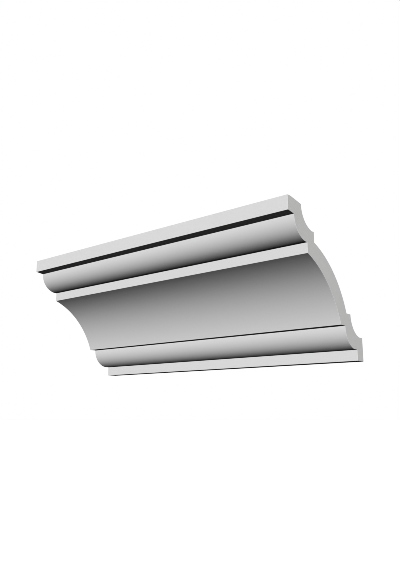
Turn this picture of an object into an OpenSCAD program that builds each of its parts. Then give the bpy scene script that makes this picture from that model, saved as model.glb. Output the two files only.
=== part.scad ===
// Cornice moulding length: one casting that bridges the corner of a wall and a ceiling.
// X runs along the length, the wall face looks along +Y, the ceiling face looks along +Z,
// and the room is on the -Y side. The origin is at the middle of the wall face.
// Section names run from the ceiling down: fascia, soffit, crown ovolo, crown fillet,
// cove, foot ovolo, foot fillet. The back is the front profile moved into the corner, and
// the top lies on the ceiling at its front edge only, so that edge closes tight.

/* [Overall] */
// Length of the piece, cut square at both ends
length = 400; // [100:1:3000]
// Height of the whole section down the wall
drop = 150; // [120:1:260]
// Depth of the whole section out along the ceiling
projection = 152; // [120:1:260]

/* [Upper members] */
// Height of the flat band at the top
fascia_h = 15.5; // [8:0.5:24]
// Width of the flat soffit under the fascia
soffit_w = 11; // [6:0.5:20]
// How far the soffit falls on its way in from the fascia
soffit_fall = 1.25; // [0:0.25:3]
// Ledge between the crown ovolo and its fillet
crown_step = 4.5; // [1:0.5:8]
// Height of the fillet above the cove
crown_fillet_h = 11; // [5:0.5:16]

/* [Lower members] */
// Ledge between the cove and the foot ovolo
cove_step = 9.5; // [4:0.5:16]
// Ledge between the foot ovolo and its fillet
foot_step = 7; // [1:0.5:10]
// Height of the fillet at the foot, which is the lower edge of the casting
foot_fillet_h = 12; // [6:0.5:18]
// Thickness of the casting at its lower edge
foot_t = 14.5; // [10:0.5:22]

/* [Ceiling face] */
// Width of the strip at the front of the top that lies on the ceiling
ceiling_seat_w = 6; // [3:0.5:9]
// How far the top falls away from the ceiling behind that strip
ceiling_relief = 2.75; // [0.5:0.25:4]

/* [Curves] */
// Radius of both ovolos
ovolo_r = 23.5; // [16:0.5:30]
// Degrees of arc in each ovolo, from its upright top
ovolo_sweep = 81; // [70:1:89]
// Degrees of arc in the cove
cove_sweep = 52; // [30:1:80]

/* [Finish] */
// Colour of the cast plaster
plaster_colour = "#EDECE8";

/* [Hidden] */

$fn = 96;
// How far the solid behind the front profile runs on, past the wall and the ceiling
reach = 2 * (drop + projection);

// Rise and run of an ovolo
ovolo_h = ovolo_r * sin(ovolo_sweep);
ovolo_w = ovolo_r * (1 - cos(ovolo_sweep));

// Heights of the ledges above the underside
foot_ledge_z = foot_fillet_h;
cove_foot_z = foot_ledge_z + ovolo_h;
soffit_z = drop - fascia_h;
crown_ovolo_z = soffit_z - soffit_fall;
crown_ledge_z = crown_ovolo_z - ovolo_h;
cove_head_z = crown_ledge_z - crown_fillet_h;

// Places of the upright faces, measured out from the wall, which is at 0
foot_face_y = -foot_t;
foot_ovolo_y = foot_face_y - foot_step - ovolo_w;
cove_foot_y = foot_ovolo_y - cove_step;
fascia_y = -projection;
crown_ovolo_y = fascia_y + soffit_w;
cove_head_y = crown_ovolo_y + ovolo_w + crown_step;

// The cove is an arc on the chord that is left between the members above and below it
cove_w = cove_foot_y - cove_head_y;
cove_h = cove_head_z - cove_foot_z;
cove_chord = norm([cove_w, cove_h]);
cove_r = cove_chord / (2 * sin(cove_sweep / 2));
cove_centre_out = cove_r * cos(cove_sweep / 2);
cove_centre = [
    (cove_head_y + cove_foot_y) / 2 - cove_centre_out * cove_h / cove_chord,
    (cove_head_z + cove_foot_z) / 2 - cove_centre_out * cove_w / cove_chord
];

// The back is the front moved by the lower edge's thickness, so its foot fillet lands on
// the wall, and up, so its crown ovolo starts where the top's relief ends
back_move = [foot_t, fascia_h + soffit_fall - ceiling_relief];
wall_face_h = foot_fillet_h + back_move[1];

// The relief runs from the seat to the back's crown ovolo, and this line carries on
seat_y = fascia_y + ceiling_seat_w;
relief_slope = ceiling_relief / (crown_ovolo_y + foot_t - seat_y);

// All that lies behind an upright face at y and above a ledge at z
module behind(y, z) {
    translate([y, z]) square(reach);
}

// An ovolo that starts upright at [y, top_z] and ends on the ledge below it
module ovolo(y, top_z) {
    ledge_z = top_z - ovolo_h;
    intersection() {
        translate([y + ovolo_r, top_z]) circle(r = ovolo_r);
        translate([y - ovolo_r, ledge_z]) square(3 * ovolo_r);
    }
    behind(y + ovolo_r, ledge_z);
}

// Everything behind the fascia and above the soffit, whose line runs on into the ovolo
module fascia_and_soffit() {
    inside = [fascia_y + 2 * soffit_w, soffit_z - 2 * soffit_fall];
    polygon([[fascia_y, soffit_z], inside, [reach, inside[1]], [reach, reach], [fascia_y, reach]]);
}

// The crown fillet, with the cove's arc cut out of the corner below it
module fillet_and_cove() {
    difference() {
        behind(cove_head_y, cove_foot_z);
        translate(cove_centre) circle(r = cove_r);
    }
}

// The members that the front and the back share
module members() {
    ovolo(crown_ovolo_y, crown_ovolo_z);
    fillet_and_cove();
    ovolo(foot_ovolo_y, cove_foot_z);
}

// All between the wall, the underside, the fascia and the top, with the top's relief
module envelope() {
    polygon([
        [fascia_y, 0], [0, 0], [0, drop + relief_slope * seat_y], [seat_y, drop], [fascia_y, drop]
    ]);
}

// The section of the casting, with the wall on Y = 0 and the underside on Z = 0
module section() {
    intersection() {
        difference() {
            union() {
                fascia_and_soffit();
                members();
                behind(foot_face_y, 0);
            }
            translate(back_move) members();
        }
        envelope();
    }
}

// The casting, its section turned upright and carried along X
module cornice() {
    color(plaster_colour)
        translate([-length / 2, 0, -wall_face_h / 2])
            rotate([90, 0, 90])
                linear_extrude(height = length)
                    section();
}

cornice();
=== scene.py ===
"""A length of plain plaster cornice moulding, finished and set on a white studio stage.

It is laid out as an add-on: sizes and colours are properties, each piece has an operator, and a
panel in the 3D view's sidebar lists them. Run as a script, it builds the whole scene once.
Lengths are in metres. X runs along the moulding, the wall is at +Y and the ceiling is at +Z.
"""

import math

import bpy
import numpy as np
from bpy.props import FloatProperty, FloatVectorProperty, IntProperty, PointerProperty
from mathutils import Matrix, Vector


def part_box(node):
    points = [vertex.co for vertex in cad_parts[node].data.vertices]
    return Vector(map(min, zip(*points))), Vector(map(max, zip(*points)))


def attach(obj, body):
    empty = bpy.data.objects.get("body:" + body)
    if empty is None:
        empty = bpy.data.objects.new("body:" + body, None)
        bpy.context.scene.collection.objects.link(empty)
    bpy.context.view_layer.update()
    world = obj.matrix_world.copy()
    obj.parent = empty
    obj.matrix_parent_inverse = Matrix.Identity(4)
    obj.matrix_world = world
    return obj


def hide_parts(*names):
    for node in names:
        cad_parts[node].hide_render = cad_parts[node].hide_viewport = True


bl_info = {
    "name": "Plaster Cornice Length",
    "version": (1, 0, 0),
    "blender": (4, 5, 0),
    "location": "3D View > Sidebar > Cornice",
    "description": "Builds a cast plaster cornice length with its finish and a studio stage",
    "category": "Add Mesh",
}

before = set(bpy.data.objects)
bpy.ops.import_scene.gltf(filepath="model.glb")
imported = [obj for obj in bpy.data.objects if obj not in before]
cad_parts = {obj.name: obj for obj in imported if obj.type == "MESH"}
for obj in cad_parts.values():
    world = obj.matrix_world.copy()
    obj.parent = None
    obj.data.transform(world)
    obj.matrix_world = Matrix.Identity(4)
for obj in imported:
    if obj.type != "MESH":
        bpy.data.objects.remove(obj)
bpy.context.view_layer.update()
CAD_NODE = "cornice"
CAD_LOW, CAD_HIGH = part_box(CAD_NODE)

MM = 0.001

# Spacing of the points along an arc of the section
ARC_PITCH = 1.2 * MM
# Steps across each flat band of the section, across its narrowest ledges, and from the front to
# the back of an end
BAND_STEPS = 4
LEDGE_STEPS = 2
END_STEPS = 6
# How far the struck back's relief takes to rise, in from the ends and from the long edges
RISE_FROM_END = 12 * MM
RISE_FROM_EDGE = 5 * MM
# An angle between faces from which they meet at an arris
ARRIS_ANGLE = math.radians(12)
ARRIS_SEGMENTS = 2
# Waves in one unit of a wave texture whose scale is 1
WAVES_PER_UNIT = 20 / (2 * math.pi)
# Gypsum's index of refraction
GYPSUM_IOR = 1.52

# How wide each lamp looks from the moulding, and how far off its object is placed
LAMP_WIDTH = math.radians(15)
LAMP_AWAY = 2.0
# The faint even light from all round, as a share of white
FILL = 0.001
SENSOR_MM = 36
# What the camera looks at, from the middle of the moulding
LOOK_AT = Vector((21.0, 10.2, 25.1)) * MM
# Width of the render's reconstruction filter, half of Cycles' own, which keeps the thin shadow
# lines under the ledges crisp
CRISP_FILTER = 0.75


def linear(hex_colour):
    """The linear RGB of an sRGB hex colour such as "E3E2DF": (c + 0.055) / 1.055 to the 2.4."""
    srgb = [int(hex_colour[i : i + 2], 16) / 255 for i in (0, 2, 4)]
    return tuple(c / 12.92 if c <= 0.04045 else ((c + 0.055) / 1.055) ** 2.4 for c in srgb)


# ---------------------------------------------------------------- sizes and colours


def distance(name, description, mm):
    """A length property with its default in millimetres."""
    return FloatProperty(
        name=name, description=description, default=mm * MM, min=0.0, unit="LENGTH", precision=4
    )


def angle(name, description, degrees):
    """An angle property with its default in degrees."""
    return FloatProperty(
        name=name, description=description, default=math.radians(degrees), subtype="ANGLE"
    )


def colour(name, description, hex_colour):
    """A colour property with its default as sRGB hex."""
    return FloatVectorProperty(
        name=name,
        description=description,
        default=linear(hex_colour),
        subtype="COLOR",
        min=0,
        max=1,
    )


class CorniceSizes(bpy.types.PropertyGroup):
    """Sizes of the members, from the ceiling down, and of the mesh that carries them"""

    fascia_h: distance("Fascia", "Height of the flat band at the top", 15.5)
    soffit_w: distance("Soffit", "Width of the flat soffit under the fascia", 11)
    soffit_fall: distance("Soffit fall", "How far the soffit falls on its way in", 1.25)
    crown_step: distance("Crown ledge", "Ledge between the crown ovolo and its fillet", 4.5)
    crown_fillet_h: distance("Crown fillet", "Height of the fillet above the cove", 11)
    cove_step: distance("Cove ledge", "Ledge between the cove and the foot ovolo", 9.5)
    foot_step: distance("Foot ledge", "Ledge between the foot ovolo and its fillet", 7)
    foot_fillet_h: distance("Foot fillet", "Height of the fillet at the foot", 12)
    foot_t: distance("Foot thickness", "Thickness of the casting at its lower edge", 14.5)
    seat_w: distance("Ceiling seat", "Width of the strip of the top that lies on the ceiling", 6)
    relief: distance("Ceiling relief", "How far the top falls away behind that strip", 2.75)
    ovolo_r: distance("Ovolo radius", "Radius of both ovolos", 23.5)
    ovolo_sweep: angle("Ovolo arc", "Arc of each ovolo, from its upright top", 81)
    cove_sweep: angle("Cove arc", "Arc of the cove", 52)
    arris_r: distance("Arris", "Rounding of every arris", 0.25)
    back_relief: distance("Back relief", "Most that the struck back stands proud", 0.35)
    mesh_pitch: distance("Mesh pitch", "Spacing of the mesh along the length", 2.5)


class CorniceColours(bpy.types.PropertyGroup):
    """Colours of the plaster and of the floor"""

    plaster: colour("Plaster", "The moulded face of the casting", "E5E5E5")
    plaster_shade: colour("Plaster shade", "The faint clouds in the moulded face", "E3E3E3")
    back: colour("Back", "The struck back of the casting", "E0DFDC")
    back_shade: colour("Back shade", "The damp-looking patches of the back", "D3D1CC")
    cut: colour("Cut end", "The sawn ends", "E5E5E4")
    # Painted shade: the slightly darker colour given to the trough of each saw mark
    cut_trough_painted_shade: colour("Cut end shade", "The trough of each saw mark", "E0E0DF")
    floor: colour("Floor", "The studio floor", "FBFBFB")


class CorniceStage(bpy.types.PropertyGroup):
    """Where the camera and the floor stand"""

    azimuth: angle("Camera azimuth", "How far the camera stands round to the right", 39.29)
    elevation: angle("Camera elevation", "How far the camera looks up at the moulding", 12.36)
    camera_away: distance("Camera distance", "From the camera to the point it looks at", 723.9)
    lens_mm: FloatProperty(
        name="Lens", description="Focal length on a 36 mm sensor", default=36.78, min=1.0
    )
    floor_drop: distance("Floor drop", "From the foot of the moulding down to the floor", 340)
    floor_r: distance("Floor radius", "Radius of the round floor", 20000)
    floor_sides: IntProperty(name="Floor sides", description="Sides of the floor", default=96)


# ---------------------------------------------------------------- the section


def arc(centre, radius, start, end):
    """Points on a circle: centre + radius * (cos t, sin t), t going evenly from start to end."""
    steps = max(2, round(abs(end - start) * radius / ARC_PITCH))
    t = np.linspace(start, end, steps + 1)
    return np.stack([centre[0] + radius * np.cos(t), centre[1] + radius * np.sin(t)], axis=1)


def straight(start, end, steps):
    """Points on a line: start + t * (end - start), t going evenly from 0 to 1."""
    t = np.linspace(0, 1, steps + 1)[:, None]
    return np.array(start) + t * (np.array(end) - np.array(start))


def joined(parts):
    """One path from several that meet end to end, with each meeting point kept once."""
    return np.concatenate([parts[0]] + [part[1:] for part in parts[1:]])


def section(sizes, low, high):
    """The section in (y, z) as two paths with as many points, the front's and the back's.

    The front runs down from the ceiling through fascia, soffit, ovolo, fillet, cove, ovolo and
    fillet to the wall's lower corner. An ovolo is an arc about a centre level with its upright
    top. The cove is the arc on the chord between the members, of radius chord / (2 sin(sweep/2)).
    The back is the members from ovolo to ovolo moved by (foot thickness, rise), behind a strip
    that lies on the ceiling and a relief that falls from it. It ends on the wall, and both paths
    share their first and last point.
    """
    ovolo_h = sizes.ovolo_r * math.sin(sizes.ovolo_sweep)
    ovolo_w = sizes.ovolo_r * (1 - math.cos(sizes.ovolo_sweep))
    soffit_z = high.z - sizes.fascia_h
    crown_y = low.y + sizes.soffit_w
    crown_ovolo_z = soffit_z - sizes.soffit_fall
    crown_ledge_z = crown_ovolo_z - ovolo_h
    cove_head = (crown_y + ovolo_w + sizes.crown_step, crown_ledge_z - sizes.crown_fillet_h)
    foot_ledge_z = low.z + sizes.foot_fillet_h
    foot_y = high.y - sizes.foot_t
    foot_ovolo_y = foot_y - sizes.foot_step - ovolo_w
    cove_foot = (foot_ovolo_y - sizes.cove_step, foot_ledge_z + ovolo_h)

    def ovolo(y, top_z):
        centre = (y + sizes.ovolo_r, top_z)
        return arc(centre, sizes.ovolo_r, math.pi, math.pi + sizes.ovolo_sweep)

    run, fall = cove_foot[0] - cove_head[0], cove_head[1] - cove_foot[1]
    chord = math.hypot(run, fall)
    cove_r = chord / (2 * math.sin(sizes.cove_sweep / 2))
    out = cove_r * math.cos(sizes.cove_sweep / 2)
    centre = (
        (cove_head[0] + cove_foot[0]) / 2 - out * fall / chord,
        (cove_head[1] + cove_foot[1]) / 2 - out * run / chord,
    )
    middle = math.atan2(run, fall)
    half = sizes.cove_sweep / 2

    crown = [
        straight((low.y, high.z), (low.y, soffit_z), BAND_STEPS),
        straight((low.y, soffit_z), (crown_y, crown_ovolo_z), BAND_STEPS),
    ]
    body = joined(
        [
            ovolo(crown_y, crown_ovolo_z),
            straight(
                (crown_y + ovolo_w, crown_ledge_z), (cove_head[0], crown_ledge_z), LEDGE_STEPS
            ),
            straight((cove_head[0], crown_ledge_z), cove_head, BAND_STEPS),
            arc(centre, cove_r, middle + half, middle - half),
            straight(cove_foot, (foot_ovolo_y, cove_foot[1]), BAND_STEPS),
            ovolo(foot_ovolo_y, cove_foot[1]),
            straight(
                (foot_ovolo_y + ovolo_w, foot_ledge_z), (foot_y, foot_ledge_z), LEDGE_STEPS
            ),
        ]
    )
    foot = [
        straight((foot_y, foot_ledge_z), (foot_y, low.z), BAND_STEPS),
        straight((foot_y, low.z), (high.y, low.z), BAND_STEPS),
    ]
    front = joined([*crown, body, *foot])
    seat = (low.y + sizes.seat_w, high.z)
    rise = sizes.fascia_h + sizes.soffit_fall - sizes.relief
    moved = body + np.array([sizes.foot_t, rise])
    back = joined(
        [
            straight((low.y, high.z), seat, BAND_STEPS),
            straight(seat, moved[0], BAND_STEPS),
            moved,
            straight(moved[-1], (high.y, low.z), 2 * BAND_STEPS),
        ]
    )
    return front, back


def rises(path):
    """Unit normals of a path in its plane: each point's tangent turned a quarter to the left."""
    tangent = np.gradient(path, axis=0)
    tangent /= np.linalg.norm(tangent, axis=1, keepdims=True)
    return np.stack([-tangent[:, 1], tangent[:, 0]], axis=1)


def struck(x, s):
    """How far the struck back stands proud, from -1 to 1, at x along the length and s down it.

    It is a mean of sines in x and s whose waves are 20 to 130 mm long, as a trowel leaves.
    """
    # wave length along x and down s in mm, and phase
    waves = (
        (130, 47, 0.3),
        (83, 31, 1.7),
        (57, 88, 2.9),
        (41, 26, 4.1),
        (29, 61, 5.2),
        (23, 39, 0.9),
    )
    turn = 2 * math.pi
    total = sum(
        np.sin(turn * x / (along * MM) + phase) * np.cos(turn * s / (down * MM) + 2 * phase)
        for along, down, phase in waves
    )
    return total / len(waves)


def fade(t, start, end, width):
    """A smooth window: 0 at start and end, and 1 further than width inside them."""
    inside = np.clip(np.minimum(t - start, end - t) / width, 0, 1)
    return inside * inside * (3 - 2 * inside)


# ---------------------------------------------------------------- meshes and materials


def add_node(tree, kind, settings=None, **inputs):
    """Adds a node with its settings, and sets or links its inputs.

    An input is given by its name, with _ for a space, or by its number after an i.
    """
    node = tree.nodes.new(kind)
    for name, value in (settings or {}).items():
        setattr(node, name, value)
    for name, value in inputs.items():
        key = int(name[1:]) if name[1:].isdigit() and name[0] == "i" else name.replace("_", " ")
        if isinstance(value, bpy.types.NodeSocket):
            tree.links.new(value, node.inputs[key])
        else:
            node.inputs[key].default_value = value
    return node


def per(mm):
    """The scale that makes one period of a pattern this many millimetres long."""
    return 1 / (mm * MM)


def new_material(name):
    """An empty node material, with its tree and a texture coordinate node's Object output."""
    material = bpy.data.materials.new(name)
    material.use_nodes = True
    material.node_tree.nodes.clear()
    place = add_node(material.node_tree, "ShaderNodeTexCoord").outputs["Object"]
    return material, material.node_tree, place


def shade(tree, factor, light, dark):
    """A colour between light and dark, by factor."""
    mix = add_node(tree, "ShaderNodeMix", {"data_type": "RGBA"}, Factor=factor)
    mix.inputs["A"].default_value = (*light, 1)
    mix.inputs["B"].default_value = (*dark, 1)
    return mix.outputs["Result"]


def finish_surface(tree, base, normal, roughness):
    """A matte, uncoated gypsum surface, made the tree's output."""
    surface = add_node(
        tree,
        "ShaderNodeBsdfPrincipled",
        Base_Color=base,
        Normal=normal,
        Roughness=roughness,
        IOR=GYPSUM_IOR,
    )
    add_node(tree, "ShaderNodeOutputMaterial", Surface=surface.outputs["BSDF"])


def cast_plaster(colours):
    """Gypsum plaster cast in a smooth mould: chalk white, dead matte, with the faintest clouding.

    Its grain is about 0.3 mm, which is too fine to show, so it is drawn 2 mm wide and very low.
    """
    material, tree, place = new_material("cast_gypsum_plaster")
    clouds = add_node(tree, "ShaderNodeTexNoise", Vector=place, Scale=per(55), Detail=2.0)
    grain = add_node(tree, "ShaderNodeTexNoise", Vector=place, Scale=per(2), Detail=3.0)
    bump = add_node(
        tree, "ShaderNodeBump", Height=grain.outputs["Fac"], Distance=0.05 * MM, Strength=0.35
    )
    base = shade(tree, clouds.outputs["Fac"], colours.plaster, colours.plaster_shade)
    finish_surface(tree, base, bump.outputs["Normal"], 0.9)
    return material


def struck_plaster(colours):
    """The open back, struck off wet with a trowel: rougher and greyer, with drag marks and patches.

    The drags are 4 mm apart and drawn out along the length, over grit that is really 0.5 mm wide
    and is drawn 2.5 mm wide to show.
    """
    material, tree, place = new_material("struck_gypsum_plaster")
    drawn = add_node(tree, "ShaderNodeMapping", Vector=place, Scale=(0.08, 1, 1)).outputs["Vector"]
    drags = add_node(tree, "ShaderNodeTexNoise", Vector=drawn, Scale=per(4), Detail=4.0)
    patches = add_node(tree, "ShaderNodeTexNoise", Vector=place, Scale=per(38), Detail=3.0)
    grit = add_node(tree, "ShaderNodeTexNoise", Vector=place, Scale=per(2.5), Detail=3.0)
    height = add_node(
        tree,
        "ShaderNodeMath",
        {"operation": "MULTIPLY_ADD"},
        i0=grit.outputs["Fac"],
        i1=0.5,
        i2=drags.outputs["Fac"],
    )
    bump = add_node(
        tree, "ShaderNodeBump", Height=height.outputs[0], Distance=0.5 * MM, Strength=0.5
    )
    base = shade(tree, patches.outputs["Fac"], colours.back, colours.back_shade)
    finish_surface(tree, base, bump.outputs["Normal"], 0.95)
    return material


def sawn_plaster(colours):
    """An end cut square with a fine hand saw: chalky, with faint slanting marks that wander.
    The trough of each mark is painted a touch darker, as painted shade.

    The teeth leave them 0.8 mm apart, which is too fine to show, so they are drawn 3 mm apart.
    """
    material, tree, place = new_material("sawn_gypsum_plaster")
    turned = add_node(tree, "ShaderNodeMapping", Vector=place, Rotation=(math.radians(28), 0, 0))
    marks = add_node(
        tree,
        "ShaderNodeTexWave",
        {"bands_direction": "Z"},
        Vector=turned.outputs["Vector"],
        Scale=per(3) / WAVES_PER_UNIT,
        Distortion=5.0,
        Detail=1.0,
        Detail_Scale=0.4,
    )
    bump = add_node(
        tree, "ShaderNodeBump", Height=marks.outputs["Fac"], Distance=0.04 * MM, Strength=0.3
    )
    # Painted shade: the colour follows the marks' bump height and is darker in each trough
    base = shade(tree, marks.outputs["Fac"], colours.cut_trough_painted_shade, colours.cut)
    finish_surface(tree, base, bump.outputs["Normal"], 0.92)
    return material


def studio_floor(colours):
    """Matte white paint on a studio floor: even, with no gleam."""
    material, tree, _ = new_material("studio_floor_paint")
    surface = add_node(tree, "ShaderNodeBsdfDiffuse", Color=(*colours.floor, 1))
    add_node(tree, "ShaderNodeOutputMaterial", Surface=surface.outputs["BSDF"])
    return material


def new_object(name, points, faces, materials, face_material=None):
    """A mesh object at the origin, from an array of points and lists of corner numbers."""
    mesh = bpy.data.meshes.new(name)
    mesh.from_pydata(points, [], faces)
    mesh.validate()
    for material in materials:
        mesh.materials.append(material)
    if face_material is not None:
        mesh.polygons.foreach_set("material_index", np.asarray(face_material, np.int32))
    made = bpy.data.objects.new(name, mesh)
    bpy.context.scene.collection.objects.link(made)
    return made


# ---------------------------------------------------------------- the moulding


class CORNICE_OT_cast_length(bpy.types.Operator):
    """Carry the section along X as one closed casting, with a struck back and sawn ends"""

    bl_idname = "cornice.cast_length"
    bl_label = "Cast Length"

    CAST, STRUCK, SAWN = range(3)

    def execute(self, context):
        sizes = context.scene.cornice_sizes
        colours = context.scene.cornice_colours
        front, back = section(sizes, CAD_LOW, CAD_HIGH)
        if len(front) != len(back):
            raise RuntimeError("The front and the back of the section need as many points")
        points, faces, finish = self.casting(sizes, front, back)
        materials = [cast_plaster(colours), struck_plaster(colours), sawn_plaster(colours)]
        piece = new_object("cornice_length", points, faces, materials, finish)
        self.soften(piece, sizes)
        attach(piece, "root")
        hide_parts(CAD_NODE)
        return {"FINISHED"}

    def casting(self, sizes, front, back):
        """The closed surface of the casting, as points, faces and each face's finish.

        The side is the section's outline carried along X: point (x, r) is (x, outline(r)). The
        outline goes down the front path and up the back one, which share their end points.
        """
        last = len(front) - 1
        corners = 2 * last
        stations = round((CAD_HIGH.x - CAD_LOW.x) / sizes.mesh_pitch)
        x = np.linspace(CAD_LOW.x, CAD_HIGH.x, stations + 1)
        side = np.empty((stations + 1, corners, 3))
        side[:, :, 0] = x[:, None]
        side[:, :, 1:] = np.concatenate([front, back[-2:0:-1]])
        side[:, last + 1 :, 1:] += self.relief(sizes, x, back)[:, -2:0:-1]

        here = np.arange(stations)[:, None] * corners + np.arange(corners)
        beside = np.roll(here, -1, axis=1)
        along = np.stack([here, beside, beside + corners, here + corners], -1)
        finish = np.where(np.arange(corners) < last, self.CAST, self.STRUCK)

        points = [side.reshape(-1, 3)]
        faces = along.reshape(-1, 4).tolist()
        finishes = [np.tile(finish, stations)]
        for station, turn in ((0, 1), (stations, -1)):
            first_inner = sum(len(part) for part in points)
            inner, cells = self.end(x[station], front, back, station * corners, first_inner)
            points.append(inner)
            for group in cells:
                faces += group[:, ::turn].tolist()
                finishes.append(np.full(len(group), self.SAWN))
        return np.concatenate(points), faces, np.concatenate(finishes)

    def relief(self, sizes, x, back):
        """How far each point of the back moves in (y, z): height * struck(x, s) * fades * rise.

        s is the length along the back path. Its seat, its fall and the wall face stay flat.
        """
        s = np.concatenate([[0], np.cumsum(np.linalg.norm(np.diff(back, axis=0), axis=1))])
        flat = 2 * BAND_STEPS
        proud = (
            sizes.back_relief
            * struck(x[:, None], s[None, :])
            * fade(x, x[0], x[-1], RISE_FROM_END)[:, None]
            * fade(s, s[flat], s[-1 - flat], RISE_FROM_EDGE)[None, :]
        )
        return proud[:, :, None] * rises(back)[None, :, :]

    def end(self, x, front, back, first_rim, first_inner):
        """An end at x as its inner points and its faces: (1 - t) front + t back, t going evenly.

        Its rim is the side's points, from number first_rim, and its own inner points are numbered
        from first_inner. The faces are quads, with triangles where front and back meet.
        """
        last = len(front) - 1
        t = np.linspace(0, 1, END_STEPS + 1)[1:-1, None, None]
        inner = (1 - t) * front[1:-1] + t * back[1:-1]
        count = inner[:, :, 0].size
        grid = np.empty((END_STEPS + 1, last + 1), int)
        grid[0] = first_rim + np.arange(last + 1)
        grid[-1] = first_rim + np.concatenate([[0], 2 * last - np.arange(1, last), [last]])
        grid[1:-1, 0], grid[1:-1, -1] = first_rim, first_rim + last
        grid[1:-1, 1:-1] = first_inner + np.arange(count).reshape(inner.shape[:2])
        cells = np.stack([grid[:-1, :-1], grid[1:, :-1], grid[1:, 1:], grid[:-1, 1:]], -1)
        points = np.full((count, 3), x)
        points[:, 1:] = inner.reshape(-1, 2)
        return points, (cells[:, 1:-1].reshape(-1, 4), cells[:, 0, [0, 2, 3]], cells[:, -1, :3])

    def soften(self, piece, sizes):
        """Smooth shading on the arcs, and every arris taken off by a small round."""
        piece.data.shade_smooth()
        piece.data.set_sharp_from_angle(angle=ARRIS_ANGLE)
        arris = piece.modifiers.new("arris", "BEVEL")
        arris.width = sizes.arris_r
        arris.segments = ARRIS_SEGMENTS
        arris.limit_method = "ANGLE"
        arris.angle_limit = ARRIS_ANGLE
        arris.use_clamp_overlap = True
        arris.harden_normals = True


# ---------------------------------------------------------------- the stage


def aim(thing, location, target):
    """Puts a camera or light at location, looking at target."""
    thing.location = location
    thing.rotation_euler = (Vector(target) - Vector(location)).to_track_quat("-Z", "Y").to_euler()


def towards(azimuth, elevation):
    """The unit vector to a place at azimuth round to the right of the front, and elevation up."""
    level = math.cos(elevation)
    return Vector((math.sin(azimuth) * level, -math.cos(azimuth) * level, math.sin(elevation)))


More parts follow.
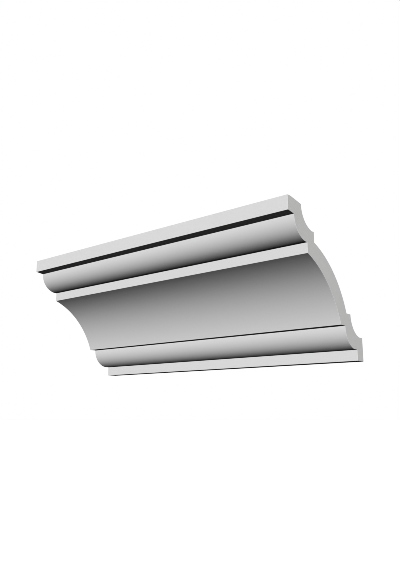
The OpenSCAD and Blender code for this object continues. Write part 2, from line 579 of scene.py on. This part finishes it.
class CORNICE_OT_set_stage(bpy.types.Operator):
    """Lay the floor, hang the lights and set the camera"""

    bl_idname = "cornice.set_stage"
    bl_label = "Set Stage"

    # name, azimuth and elevation in degrees, strength as the light that a surface facing the
    # lamp gives back, as a share of white, whether it casts shadows, and whether it lights the
    # floor only. The front ones cast none, as a bank of large softboxes leaves none under
    # members this shallow
    LIGHTS = (
        ("front_low", 33.2, 2, 0.193, False, False),
        ("front_middle", 33.2, 12.6, 0.350, False, False),
        ("front_high", 33.2, 25.7, 0.324, False, False),
        ("overhead", 0, 90, 0.42, True, False),
        ("rear_left", 222, 18, 0.50, True, False),
        ("floor_wash", 0, 90, 0.30, False, True),
    )

    def execute(self, context):
        scene = context.scene
        stage = scene.cornice_stage
        low, high = CAD_LOW, CAD_HIGH
        centre = (low + high) / 2
        floor = self.floor(scene, stage, low.z - stage.floor_drop)
        self.lights(scene, centre, floor)
        self.world(scene)
        self.camera(scene, stage, centre)
        scene.view_settings.view_transform = "Standard"
        scene.cycles.filter_width = CRISP_FILTER
        return {"FINISHED"}

    def floor(self, scene, stage, z):
        """A wide level disc: (r cos t, r sin t, z)."""
        t = np.linspace(0, 2 * math.pi, stage.floor_sides, endpoint=False)
        rim = np.full((stage.floor_sides, 3), z)
        rim[:, 0] = stage.floor_r * np.cos(t)
        rim[:, 1] = stage.floor_r * np.sin(t)
        face = [list(range(stage.floor_sides))]
        floor = new_object("studio_floor", rim, face, [studio_floor(scene.cornice_colours)])
        return floor

    def lights(self, scene, centre, floor):
        """Broad, far lights with no bounce, so that soffits and ledges stay dark."""
        plaster = scene.cornice_colours.plaster[1]
        floor_alone = bpy.data.collections.new("floor_alone")
        floor_alone.objects.link(floor)
        for name, azimuth, elevation, share, shadow, floor_only in self.LIGHTS:
            light = bpy.data.lights.new(name, "SUN")
            light.energy = share * math.pi / plaster
            light.angle = LAMP_WIDTH
            light.use_shadow = shadow
            light.cycles.max_bounces = 0
            lamp = bpy.data.objects.new(name, light)
            scene.collection.objects.link(lamp)
            direction = towards(math.radians(azimuth), math.radians(elevation))
            aim(lamp, centre + LAMP_AWAY * direction, centre)
            if floor_only:
                lamp.light_linking.receiver_collection = floor_alone

    def world(self, scene):
        """White to the camera, and a faint even fill to the moulding."""
        world = bpy.data.worlds.new("studio")
        scene.world = world
        world.use_nodes = True
        tree = world.node_tree
        tree.nodes.clear()
        seen = add_node(tree, "ShaderNodeLightPath").outputs["Is Camera Ray"]
        fill = add_node(tree, "ShaderNodeBackground", Color=(1, 1, 1, 1), Strength=FILL)
        white = add_node(tree, "ShaderNodeBackground", Color=(1, 1, 1, 1), Strength=1.0)
        mix = add_node(
            tree,
            "ShaderNodeMixShader",
            i0=seen,
            i1=fill.outputs["Background"],
            i2=white.outputs["Background"],
        )
        add_node(tree, "ShaderNodeOutputWorld", Surface=mix.outputs["Shader"])

    def camera(self, scene, stage, centre):
        """To the right and from below; it looks just above and behind the moulding's middle."""
        look_at = centre + LOOK_AT
        lens = bpy.data.cameras.new("camera")
        lens.lens = stage.lens_mm
        lens.sensor_width = SENSOR_MM
        lens.clip_start = 0.01
        lens.clip_end = 100
        camera = bpy.data.objects.new("camera", lens)
        scene.collection.objects.link(camera)
        place = look_at + stage.camera_away * towards(stage.azimuth, -stage.elevation)
        aim(camera, place, look_at)
        scene.camera = camera


class CORNICE_PT_panel(bpy.types.Panel):
    """The sizes, the colours and the operators that use them"""

    bl_label = "Plaster Cornice"
    bl_idname = "CORNICE_PT_panel"
    bl_space_type = "VIEW_3D"
    bl_region_type = "UI"
    bl_category = "Cornice"

    def draw(self, context):
        layout = self.layout
        for title, group, operator in (
            ("Moulding", context.scene.cornice_sizes, CORNICE_OT_cast_length),
            ("Stage", context.scene.cornice_stage, CORNICE_OT_set_stage),
            ("Colours", context.scene.cornice_colours, None),
        ):
            box = layout.box()
            box.label(text=title)
            for name in group.__annotations__:
                box.prop(group, name)
            if operator is not None:
                box.operator(operator.bl_idname)


CLASSES = (
    CorniceSizes,
    CorniceColours,
    CorniceStage,
    CORNICE_OT_cast_length,
    CORNICE_OT_set_stage,
    CORNICE_PT_panel,
)


def register():
    for cls in CLASSES:
        bpy.utils.register_class(cls)
    bpy.types.Scene.cornice_sizes = PointerProperty(type=CorniceSizes)
    bpy.types.Scene.cornice_colours = PointerProperty(type=CorniceColours)
    bpy.types.Scene.cornice_stage = PointerProperty(type=CorniceStage)


def unregister():
    del bpy.types.Scene.cornice_stage
    del bpy.types.Scene.cornice_colours
    del bpy.types.Scene.cornice_sizes
    for cls in reversed(CLASSES):
        bpy.utils.unregister_class(cls)


def main():
    """Registers the classes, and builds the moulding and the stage."""
    register()
    bpy.ops.cornice.cast_length()
    bpy.ops.cornice.set_stage()


if __name__ == "__main__":
    main()
